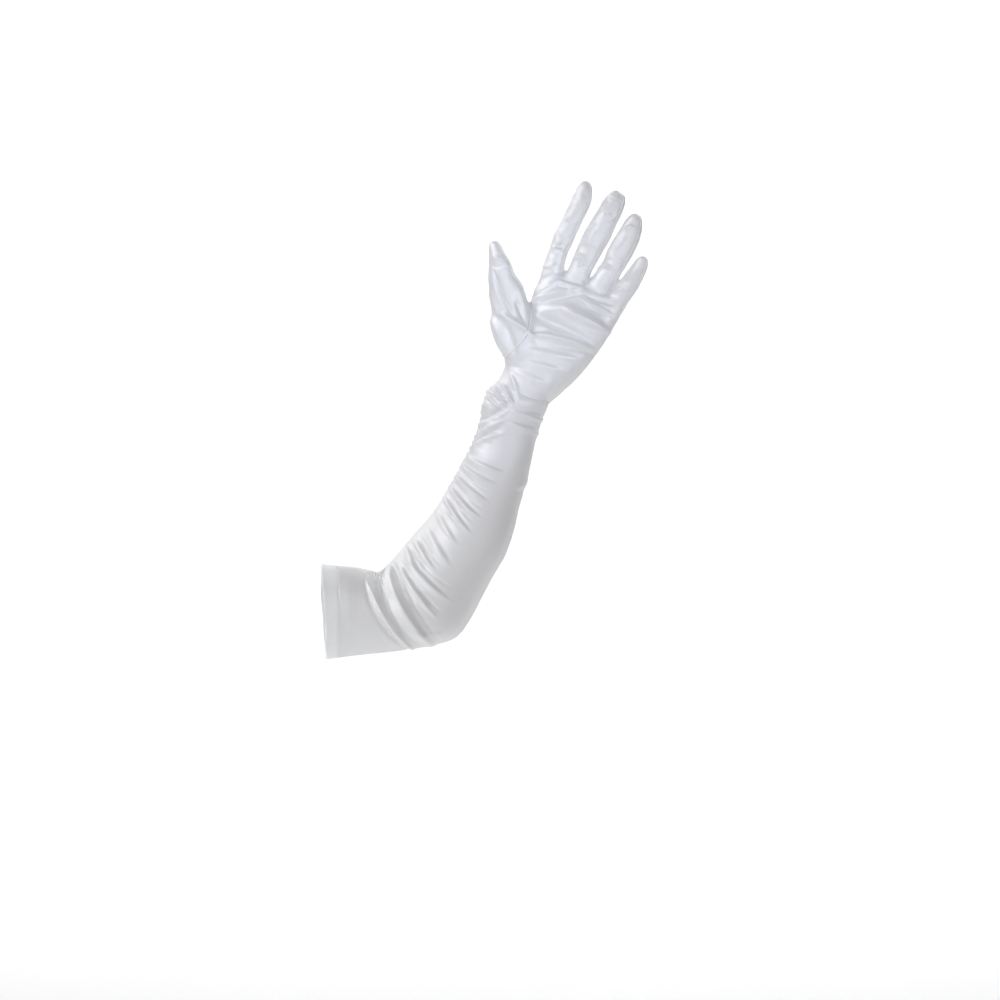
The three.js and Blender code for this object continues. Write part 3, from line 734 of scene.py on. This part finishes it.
def hand_cloth():
    """The skin of the hand with its folds, an uneven surface and the seam of the thumb, which is a
    groove between two soft swellings."""
    points, faces = hand_skin()
    normals = point_normals(points, faces)
    height = sum(lift(folds, points, normals) for folds in (PALM_FOLDS, FINGER_FOLDS, WRIST_FOLDS))
    heading = course(HAND_HEADING)
    turn = (points[:, 0] * heading[2] - points[:, 2] * heading[0]) / HAND_RADIUS
    rough = smooth(FINGERS_FROM, FINGERS_FULL, points @ heading)
    height += 0.09 * rough * billows(points @ heading, turn, 3.4, 7)
    height += 0.06 * undulation(points, 13, 7) + 0.06 * undulation(points, 5.5, 11)
    _, distance = nearest_on(seam_line(), points[:, ::2])
    height += 0.3 * bump(distance - 2.2, 1.3) - 0.4 * bump(distance, 1.2)
    return points + normals * height[:, None], faces


def part_of(points, faces, wanted):
    """The faces that are wanted, with only the points that they use."""
    faces = faces[wanted]
    used, faces = np.unique(faces, return_inverse=True)
    return points[used], faces.reshape(-1, 4)


def make_hand(material):
    """The hand with its fingers, and the thumb cut from it along its seam, each a thin wall."""
    points, faces = hand_cloth()
    seam = seam_line()
    outline = np.concatenate([seam, from_photo(ROUND_THUMB["px"], ROUND_THUMB["py"])])
    thumb = inside(outline, points[faces].mean(1)[:, ::2])
    on_seam = np.intersect1d(faces[thumb], faces[~thumb])
    nearest, distance = nearest_on(seam, points[on_seam][:, ::2])
    close = distance < VOXEL
    points[on_seam[close], ::2] = nearest[close]
    run = course(np.radians(along(ARM, "heading", HAND_OPEN)))
    past_wrist = (points[faces].mean(1) - middle(ARM, HAND_OPEN)) @ run > 0
    pieces = []
    for name, wanted in (("hand_satin", ~thumb & past_wrist), ("thumb_satin", thumb)):
        part, part_faces = part_of(points, faces, wanted)
        piece = new_piece(name, part, part_faces, material)
        flat_uv(piece, part)
        wall = piece.modifiers.new("cloth", "SOLIDIFY")
        wall.thickness = CLOTH * MM
        wall.offset = -1
        pieces.append(piece)
    return pieces


def flat_uv(piece, points):
    """A map laid flat across and along the hand."""
    across = points @ course(HAND_HEADING - np.pi / 2)
    length = points @ course(HAND_HEADING)
    set_uv(piece.data, np.stack([across, length], axis=-1)[loop_points(piece.data)])


def surface_of(*pieces):
    """What finds the nearest point of some pieces, in millimetres."""
    points, faces = [], []
    for piece in pieces:
        base = sum(len(p) for p in points)
        points.append(points_of(piece.data) / MM)
        faces += (loop_points(piece.data).reshape(-1, 4) + base).tolist()
    return BVHTree.FromPolygons([Vector(p) for p in np.concatenate(points).tolist()], faces)


def smooth_path(path, rounds):
    """Each round moves a point of a path halfway to the mean of its two neighbours."""
    for _ in range(rounds):
        path[1:-1] = 0.5 * path[1:-1] + 0.25 * (path[:-2] + path[2:])
    return path


def laid_on(surface, path, proud):
    """A path moved onto a surface and raised by proud, with the surface's normals."""
    found = [surface.find_nearest(Vector(point)) for point in path.tolist()]
    normals = np.array([hit[1] for hit in found])
    points = np.array([hit[0] for hit in found])
    normals = unit(smooth_path(normals, 3))
    return smooth_path(points, 2) + normals * proud, normals


def even_path(path, step):
    """The same path with its points a step apart."""
    length = lengths(path)
    count = max(4, int(length[-1] / step))
    at = np.linspace(0, length[-1], count)
    return np.stack([np.interp(at, length, path[:, k]) for k in range(3)], axis=-1)


ROLL_SIDES = 8
ROLL_WIDE = 1.25  # its width over its height
ROLL_SWELL = 0.22
ROLL_PITCH = 2.3


def roll(path, normals, radius):
    """The points of a thin roll of cloth along a path, closed to a small point at both ends. Its
    section is an ellipse laid flat on the surface, and its radius goes as
    1 + ROLL_SWELL cos(2 pi s / ROLL_PITCH) with the length s, drawn in at each stitch."""
    run = unit(np.gradient(path, axis=0))
    beside = unit(np.cross(run, normals))
    length = lengths(path)
    ends = np.sqrt(np.clip(np.minimum(length, length[-1] - length) / (2 * radius), 0.02, 1))
    beat = 1 + ROLL_SWELL * np.cos(2 * np.pi * length / ROLL_PITCH)
    swell = (radius * ends * beat)[:, None, None]
    angle = full_turn(ROLL_SIDES)[None, :, None]
    ring = ROLL_WIDE * beside[:, None] * np.cos(angle) + normals[:, None] * np.sin(angle)
    return path[:, None] + swell * ring


def rolls_piece(name, paths, material, radius):
    """Several rolls as one piece."""
    points, faces = [], []
    base = 0
    for path, normals in paths:
        ring = roll(path, normals, radius)
        points.append(ring.reshape(-1, 3))
        faces.append(grid_faces(len(ring), ROLL_SIDES) + base)
        base += len(points[-1])
    return new_piece(name, np.concatenate(points), np.concatenate(faces), material)


STITCH_SIDES = 6
STITCH_RINGS = 7
STITCH_LENGTH = 1.9
STITCH_RADIUS = 0.26
STITCH_PROUD = 0.05


def stitches(points, runs, normals):
    """Short stitches at points: each a capsule along its run, bulging out of the surface, sampled as
    rings of radius sqrt(1 - t ** 4) for t from almost -1 to 1, joined into one set of quads."""
    t = np.linspace(-0.995, 0.995, STITCH_RINGS)[None, :, None, None]
    angle = full_turn(STITCH_SIDES)[:, None]
    beside = unit(np.cross(runs, normals))
    centre, run, side, normal = (v[:, None, None] for v in (points, runs, beside, normals))
    ring = (side * np.cos(angle) + normal * np.sin(angle)) * STITCH_RADIUS * np.sqrt(1 - t**4)
    skin = centre + run * t * STITCH_LENGTH / 2 + ring
    one = grid_faces(STITCH_RINGS, STITCH_SIDES)
    base = np.arange(len(points))[:, None, None] * STITCH_RINGS * STITCH_SIDES
    return skin.reshape(-1, 3), (one[None] + base).reshape(-1, 4)


def make_hem_stitches(material):
    """The row of stitches that holds the hem, on the outside of the band."""
    angle = full_turn(HEM_STITCHES)[None, :]
    distance = np.array([[HEM_WIDTH - HEM_STITCH_IN]])
    inset = np.array([[-STITCH_PROUD]])
    points, normals = hem_surface(distance, angle, inset)
    ahead, _ = hem_surface(distance, angle + 0.01, inset)
    runs = unit(ahead[0] - points[0])
    return new_piece("hem_stitches", *stitches(points[0], runs, normals[0]), material)


def sleeve_seam_path():
    """The course of the long seam on the plain tube, from the hem to the bunched end."""
    at, _, _ = places(ARM, hem_place() + 0.02, WRIST - 0.35, 420)
    at = at[:, 0]
    points, _ = tube(ARM, at, seam_angle(at))
    return points


def finger_seam_path(rows, angle, start):
    """A line up one side of a finger, from a row of its table almost to the tip."""
    at = np.linspace(start, len(rows["x"]) - 1.05, 160)
    points, _ = tube(rows, at, angle + 0 * at)
    return points


# Where the seam of each finger starts, in rows of its table, and its place round the finger
FINGER_SEAMS = {
    "index": (1.1, np.pi + 0.72),
    "middle": (1.1, np.pi + 0.72),
    "ring": (0.95, np.pi + 0.72),
    "little": (0.6, np.pi + 0.62),
    "thumb": (3.4, np.pi + 0.5),
}
SEAM_STEP = 0.55
SEAM_RADIUS = 0.5
THUMB_SEAM_RADIUS = 0.7
FINGER_SEAM_RADIUS = 0.45
PALM_SIDE = 40  # how far in front of the hand the thumb's seam is looked for from


def make_seams(sleeve, hand, thumb, material):
    """The rolled seams: along the sleeve, round the thumb and up the edge of each finger."""
    on_sleeve, on_hand = surface_of(sleeve), surface_of(hand, thumb)
    path = even_path(sleeve_seam_path(), SEAM_STEP)
    sleeve_seam = [laid_on(on_sleeve, path, 0.1)]
    line = seam_line()
    front = np.stack([line[:, 0], 0 * line[:, 0] - PALM_SIDE, line[:, 1]], axis=-1)
    hits = [on_hand.ray_cast(Vector(p), Vector((0, 1, 0)))[0] for p in front.tolist()]
    found = np.array([hit for hit in hits if hit is not None])
    thumb_seam = [laid_on(on_hand, even_path(found, SEAM_STEP), 0.15)]
    fingers = []
    for name, (start, angle) in FINGER_SEAMS.items():
        path = even_path(finger_seam_path(FINGERS[name], angle, start), SEAM_STEP)
        fingers.append(laid_on(on_hand, path, 0.05))
    rolls = (
        ("sleeve_seam", sleeve_seam, SEAM_RADIUS),
        ("thumb_seam", thumb_seam, THUMB_SEAM_RADIUS),
        ("finger_seams", fingers, FINGER_SEAM_RADIUS),
    )
    return [rolls_piece(name, paths, material, radius) for name, paths, radius in rolls]


def node(tree, kind, **settings):
    """A new shader node with its settings."""
    made = tree.nodes.new(kind)
    for key, value in settings.items():
        setattr(made, key, value)
    return made


def set_inputs(made, **values):
    """Sets inputs of a shader node, named with _ for each space."""
    for name, value in values.items():
        made.inputs[name.replace("_", " ")].default_value = value


def noise(tree, vector, scale, detail, dimensions="3D"):
    """Noise over a vector, as the socket of its value."""
    made = node(tree, "ShaderNodeTexNoise", noise_dimensions=dimensions)
    set_inputs(made, Scale=scale, Detail=detail)
    tree.links.new(vector, made.inputs["Vector"])
    return made.outputs["Fac"]


def woven_noise(tree, uv, per_metre, detail):
    """Noise over the cloth's map, drawn out along the sleeve, with so many grains in a metre across
    and along."""
    stretch = node(tree, "ShaderNodeMapping")
    set_inputs(stretch, Scale=(*per_metre, 1))
    tree.links.new(uv, stretch.inputs["Vector"])
    return noise(tree, stretch.outputs[0], 1.0, detail, "2D")


def maths(tree, operation, *terms):
    """A sum, a product, or a product plus a third term, of sockets and numbers."""
    made = node(tree, "ShaderNodeMath", operation=operation)
    for place, term in zip(made.inputs, terms):
        if isinstance(term, float):
            place.default_value = term
        else:
            tree.links.new(term, place)
    return made.outputs[0]


THREAD_GRAINS = (4200, 420)  # in a metre across and along the cloth
SLUB_GRAINS = (700, 60)
CLOUD_GRAINS = 42.0
GROUP_SOCKETS = {
    "INPUT": {"Colour": "Color", "Shadow Colour": "Color", "Roughness": "Float", "Strength": "Float"},
    "OUTPUT": {"Colour": "Color", "Roughness": "Float", "Height": "Float"},
}


def satin_threads():
    """A group for satin: the long floats of the weave run along the cloth's map, so fine noise
    stretched that way shades the colour and the roughness, and its height bends the light."""
    tree = bpy.data.node_groups.new("satin_threads", "ShaderNodeTree")
    for way, sockets in GROUP_SOCKETS.items():
        for name, kind in sockets.items():
            tree.interface.new_socket(name=name, in_out=way, socket_type="NodeSocket" + kind)
    link = tree.links.new
    inputs = node(tree, "NodeGroupInput").outputs
    outputs = node(tree, "NodeGroupOutput").inputs
    uv = node(tree, "ShaderNodeUVMap", uv_map="cloth").outputs[0]
    threads = woven_noise(tree, uv, THREAD_GRAINS, 2.0)
    slubs = woven_noise(tree, uv, SLUB_GRAINS, 3.0)
    place = node(tree, "ShaderNodeTexCoord").outputs["Object"]
    cloud = noise(tree, place, CLOUD_GRAINS, 2.0)
    both = maths(tree, "ADD", threads, slubs)
    shade = node(tree, "ShaderNodeMapRange")
    set_inputs(shade, From_Min=0.6, From_Max=1.4)
    link(both, shade.inputs["Value"])
    mix = node(tree, "ShaderNodeMix", data_type="RGBA")
    link(maths(tree, "MULTIPLY", shade.outputs[0], 0.22), mix.inputs["Factor"])
    link(inputs["Colour"], mix.inputs["A"])
    link(inputs["Shadow Colour"], mix.inputs["B"])
    link(mix.outputs["Result"], outputs["Colour"])
    cloudy = maths(tree, "MULTIPLY_ADD", cloud, 0.10, inputs["Roughness"])
    link(maths(tree, "MULTIPLY_ADD", slubs, 0.08, cloudy), outputs["Roughness"])
    link(maths(tree, "MULTIPLY", both, inputs["Strength"]), outputs["Height"])
    return tree


THREADS = satin_threads()
METALLIC = 0.22  # satin mirrors soft light more than its weave would as plain white cloth
WEAVE_DEPTH = 0.00008  # in metres


def satin(name, colour, shadow, roughness, relief, sheen):
    """Glossy white satin: the shared threads, a soft sheen and a gloss drawn out by the weave."""
    material = bpy.data.materials.new(name)
    material.use_nodes = True
    tree = material.node_tree
    shader = tree.nodes["Principled BSDF"]
    threads = node(tree, "ShaderNodeGroup", node_tree=THREADS)
    set_inputs(threads, Colour=(*colour, 1), Shadow_Colour=(*shadow, 1))
    set_inputs(threads, Roughness=roughness, Strength=relief)
    weave = node(tree, "ShaderNodeBump")
    set_inputs(weave, Strength=0.35, Distance=WEAVE_DEPTH)
    tree.links.new(threads.outputs["Height"], weave.inputs["Height"])
    tree.links.new(threads.outputs["Colour"], shader.inputs["Base Color"])
    tree.links.new(threads.outputs["Roughness"], shader.inputs["Roughness"])
    tree.links.new(weave.outputs["Normal"], shader.inputs["Normal"])
    set_inputs(shader, Metallic=METALLIC, Anisotropic=0.45, Specular_IOR_Level=0.7)
    set_inputs(shader, Sheen_Weight=sheen, Sheen_Roughness=0.35)
    return material


def thread_finish():
    """Sewing thread: the satin's white, a little duller, with its own fine ply."""
    return satin("thread", (0.87, 0.88, 0.92), (0.7, 0.71, 0.78), 0.5, 0.6, 0.2)


FLOOR = -0.42  # all of the stage, the camera and the lights in metres
FLOOR_FRONT = -1.3
FLOOR_BACK = 1.2
SWEEP_RADIUS = 1.2
WALL_LOW = 1.6
WALL_TOP = 4.5
WALL_ROWS = 6
STAGE_HALF = 4
STAGE_COLUMNS = 12


def make_stage():
    """A pale sweep: the floor runs back and turns up into a wall on a quarter circle."""
    material = bpy.data.materials.new("pale_sweep")
    material.use_nodes = True
    shader = material.node_tree.nodes["Principled BSDF"]
    set_inputs(shader, Base_Color=(0.93, 0.93, 0.935, 1), Roughness=0.9)
    depth = np.linspace(FLOOR_FRONT, FLOOR_BACK, 20)
    turn = np.linspace(0, np.pi / 2, 24)[1:]
    bend_y = FLOOR_BACK + SWEEP_RADIUS * np.sin(turn)
    bend_z = SWEEP_RADIUS - SWEEP_RADIUS * np.cos(turn)
    wall = np.linspace(WALL_LOW, WALL_TOP, WALL_ROWS)
    profile_y = np.concatenate([depth, bend_y, np.full(WALL_ROWS, FLOOR_BACK + SWEEP_RADIUS)])
    profile_z = np.concatenate([0 * depth, bend_z, wall]) + FLOOR
    across = np.linspace(-STAGE_HALF, STAGE_HALF, STAGE_COLUMNS)
    points = np.stack(np.broadcast_arrays(across, profile_y[:, None], profile_z[:, None]), -1)
    rows, columns = np.arange(len(profile_y) - 1)[:, None], np.arange(STAGE_COLUMNS - 1)
    first = (rows * STAGE_COLUMNS + columns).ravel()
    corners = (first, first + 1, first + STAGE_COLUMNS + 1, first + STAGE_COLUMNS)
    faces = np.stack(corners, axis=1)
    new_piece("sweep", points / MM, faces, material)


CENTRE = from_photo(500.0, 500.0) * MM
FRAME_WIDTH = 1000 * PIXEL * MM
CAMERA_DISTANCE = 2.6
SENSOR = 36.0


def make_camera():
    """Looks along +Y, square on the plane of the bent arm, and takes in the photo's own frame."""
    data = bpy.data.cameras.new("camera")
    data.sensor_width = SENSOR
    data.lens = SENSOR * CAMERA_DISTANCE / FRAME_WIDTH
    data.clip_end = 20
    camera = add_object("camera", data)
    camera.location = (CENTRE[0], -CAMERA_DISTANCE, CENTRE[1])
    camera.rotation_euler = (np.pi / 2, 0, 0)
    bpy.context.scene.camera = camera


WORLD_LIGHT = 0.2
PALM = (0.2, 0, 0.24)
WALL = (0.1, 2.3, 0.4)
# Name, place, what it looks at, width and height, watts, colour, and the spread of a narrow one
LIGHTS = (
    ("key", (-1.0, -0.95, 1.25), PALM, (0.9, 0.9), 11.4, (1.0, 0.985, 0.965)),
    ("front", (-0.5, -1.85, 0.3), (0.1, 0, 0.05), (1.2, 1.2), 3.9, (0.97, 0.985, 1.0)),
    ("hand_front", (0.05, -0.95, 0.5), (0.18, 0, 0.24), (0.2, 0.2), 0.016, (0.32, 0.32, 1.0), 40),
    ("thumb_fill", (0.34, -0.34, 0.2), (0.142, 0, 0.262), (0.15, 0.15), 0.022, (0.8, 0.86, 1.0), 38),
    ("hand_key", (-0.17, -0.36, 0.34), (0.13, 0, 0.2), (0.3, 0.3), 0.036, (0.76, 0.8, 1.0), 34),
    ("elbow_rake", (-0.45, -0.26, -0.1), (0.065, 0, -0.015), (0.15, 0.15), 0.024, (0.95, 0.98, 1.0), 24),
    ("fill_right", (1.2, -1.2, 0.1), (0.15, 0, 0.1), (1.2, 1.2), 3.2, (1.0, 0.99, 0.98)),
    ("cool_hand", (0.6, -0.45, 0.62), (0.22, 0, 0.28), (0.4, 0.4), 0.05, (0.6, 0.64, 1.0)),
    ("rim_left", (-0.8, 0.7, 1.0), PALM, (0.8, 1.0), 0.3, (1.0, 1.0, 1.0)),
    ("rim_right", (0.9, 0.8, 0.8), PALM, (0.8, 1.0), 2, (0.95, 0.96, 1.0)),
    ("sweep_left", (-1.4, 0.8, 1.8), WALL, (1.2, 1.2), 22, (1.0, 1.0, 1.0), 142),
    ("sweep_right", (1.6, 0.8, 1.8), WALL, (1.2, 1.2), 22, (1.0, 1.0, 1.0), 142),
)


def soft_light(name, place, target, size, watts, colour, spread=180):
    """An area light turned to what it looks at."""
    data = bpy.data.lights.new(name, "AREA")
    data.shape = "RECTANGLE"
    data.size, data.size_y = size
    data.energy = watts
    data.color = colour
    data.spread = np.radians(spread)
    light = add_object(name, data)
    light.location = place
    light.rotation_euler = (Vector(target) - Vector(place)).to_track_quat("-Z", "Y").to_euler()


def make_light():
    """A soft key from the upper left and a broad front light, four narrow ones for the hand, the
    thumb, the wrist and the folds of the elbow, two fills, two rims and two lights on the wall."""
    world = bpy.data.worlds.new("studio")
    bpy.context.scene.world = world
    world.use_nodes = True
    background = world.node_tree.nodes["Background"]
    set_inputs(background, Color=(1, 1, 1, 1), Strength=WORLD_LIGHT)
    for light in LIGHTS:
        soft_light(*light)
    bpy.context.scene.view_settings.view_transform = "Standard"


WHITE = (0.855, 0.857, 0.864)
CREASE = (0.755, 0.76, 0.775)
satin_material = satin("satin", WHITE, CREASE, 0.38, 1.0, 0.1)
# The hem band is the same satin painted lighter: painted light, standing in for the band catching more
# light than the sleeve.
lit_hem_material = satin("hem_satin", (0.94, 0.952, 0.965), CREASE, 0.42, 1.0, 0.1)
thread_material = thread_finish()

make_stage()
make_light()
make_camera()
sleeve = make_sleeve(satin_material)
hem = make_hem(lit_hem_material)
hem_stitches = make_hem_stitches(thread_material)
hand, thumb = make_hand(satin_material)
sleeve_seam, thumb_seam, finger_seams = make_seams(sleeve, hand, thumb, satin_material)

pieces = (sleeve, hem, hem_stitches, hand, thumb, sleeve_seam, thumb_seam, finger_seams)
for piece in pieces:
    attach(piece, "root")
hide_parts("sleeve")
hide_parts("hem_band")
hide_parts("hand", "finger_index", "finger_middle", "finger_ring", "finger_little")
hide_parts("thumb")
